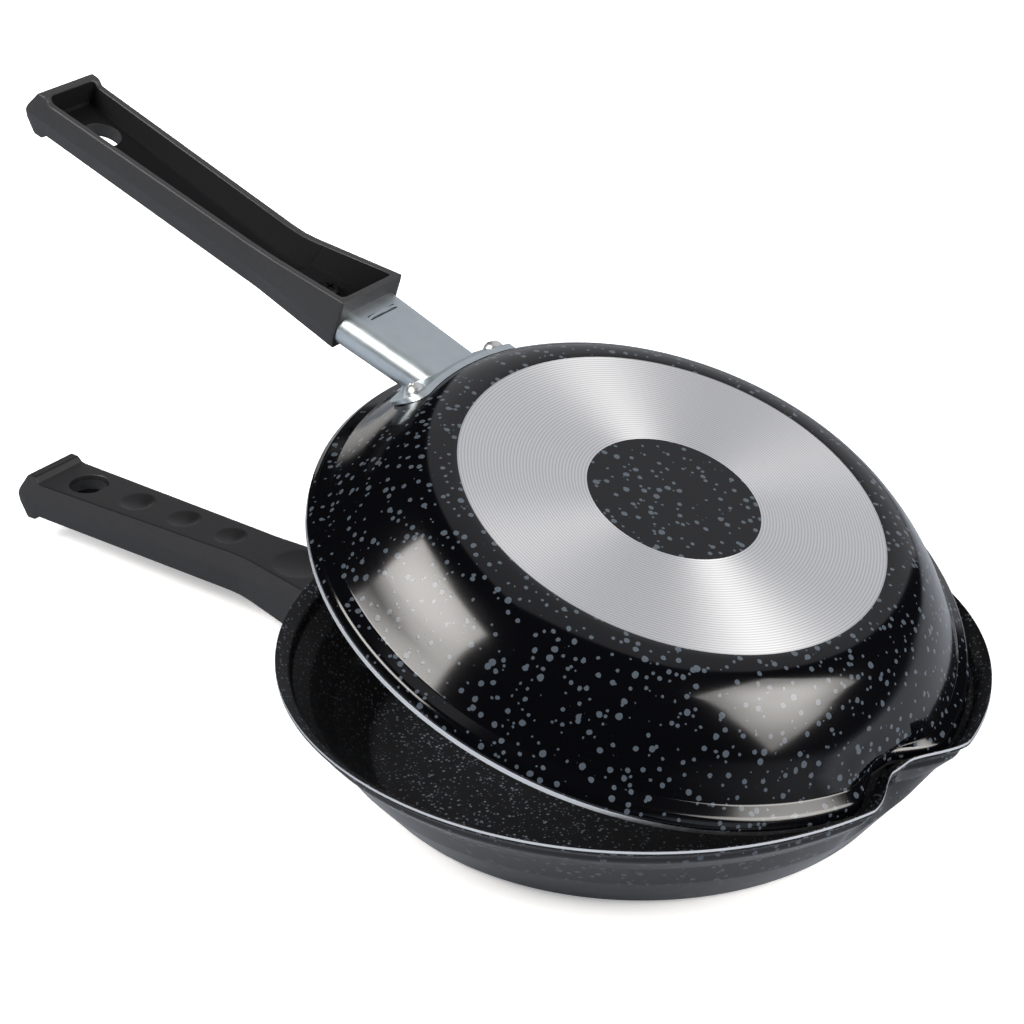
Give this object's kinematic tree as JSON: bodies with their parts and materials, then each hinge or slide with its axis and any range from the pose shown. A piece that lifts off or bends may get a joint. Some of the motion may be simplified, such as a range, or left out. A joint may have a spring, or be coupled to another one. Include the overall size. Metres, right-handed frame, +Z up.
{
  "type": "double sided flip pan",
  "caption": "Double sided flip pan: two coated pans whose rims nest, each on its own riveted bracket and handle, with a pouring notch; the upper pan tips open across the notch.",
  "frame": {"origin": "centre of the lower pan's resting base face", "axes": "+Z up, +X from the handles towards the pouring notch, handles along -X"},
  "size_m": [0.399, 0.24, 0.1877],
  "materials": {
    "coated_aluminium": "black non-stick coating with blue-grey specks, gloss outside and satin inside; the trimmed rim and the machined base ring are bare metal",
    "zinc_plated_steel": "bright zinc plating over folded sheet steel",
    "rivet_aluminium": "bright, upset heads",
    "bakelite": "satin moulded bakelite, charcoal black",
    "screw_steel": "black oxide"
  },
  "bodies": {
    "lower_half": {"lower_pan": "coated_aluminium", "lower_bracket": "zinc_plated_steel", "lower_rivets": "rivet_aluminium", "lower_handle": "bakelite", "lower_handle_screw": "screw_steel"},
    "upper_half": {"upper_pan": "coated_aluminium", "upper_bracket": "zinc_plated_steel", "upper_rivets": "rivet_aluminium", "upper_handle": "bakelite", "upper_handle_screw": "screw_steel"}
  },
  "joints": [
    {"name": "upper_pan_tip", "type": "hinge", "parent": "lower_half", "child": "upper_half", "pos_m": [0.10156, 0, 0.0436], "axis": [0, 1, 0], "range_deg": [-18.87, 71.13]}
  ]
}
